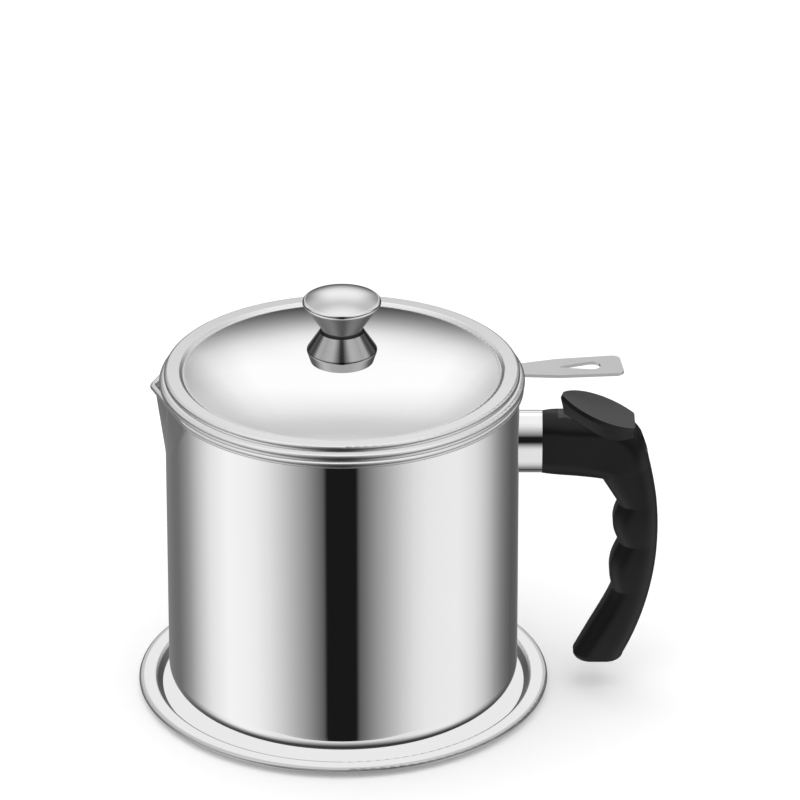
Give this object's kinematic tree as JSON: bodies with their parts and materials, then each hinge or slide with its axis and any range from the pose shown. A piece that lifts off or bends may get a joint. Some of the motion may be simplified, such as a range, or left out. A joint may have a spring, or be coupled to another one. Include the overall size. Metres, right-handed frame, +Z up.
{
  "type": "bacon grease container",
  "caption": "Steel pot with spout and black side handle, a lift-out mesh strainer with a tab, a domed lid with a knob, and a drip tray",
  "frame": {"origin": "centre of the tray's underside, where the stack rests on a table", "axes": "+Z up through the lid's knob, +X towards the handle, -X towards the pouring spout"},
  "size_m": [0.1928, 0.1526, 0.1603],
  "materials": {
    "polished_steel": "mirror-polished stainless sheet",
    "woven_mesh": "fine woven stainless wire cloth",
    "fastener_steel": "bright turned steel",
    "black_bakelite": "moulded phenolic, semi-matte"
  },
  "bodies": {
    "tray": {"tray": "polished_steel"},
    "pot": {"pot_body": "polished_steel", "handle_bracket": "fastener_steel", "handle_ferrule": "polished_steel", "handle_grip": "black_bakelite", "handle_washer": "fastener_steel", "handle_screw": "fastener_steel"},
    "strainer": {"strainer_pan": "polished_steel", "strainer_mesh": "woven_mesh", "mesh_ring": "polished_steel", "strainer_tab": "polished_steel"},
    "lid": {"lid_shell": "polished_steel", "lid_skirt": "polished_steel", "knob_base": "polished_steel", "knob_cap": "polished_steel", "knob_nut": "fastener_steel", "knob_washer": "fastener_steel", "knob_screw": "fastener_steel"}
  },
  "joints": [
    {"name": "pot_lift", "type": "slide", "parent": "tray", "child": "pot", "axis": [0, 0, 1], "range_m": [0, 0.03]},
    {"name": "strainer_lift", "type": "slide", "parent": "pot", "child": "strainer", "axis": [0, 0, 1], "range_m": [0, 0.036]},
    {"name": "lid_lift", "type": "slide", "parent": "strainer", "child": "lid", "axis": [0, 0, 1], "range_m": [0, 0.03]}
  ]
}
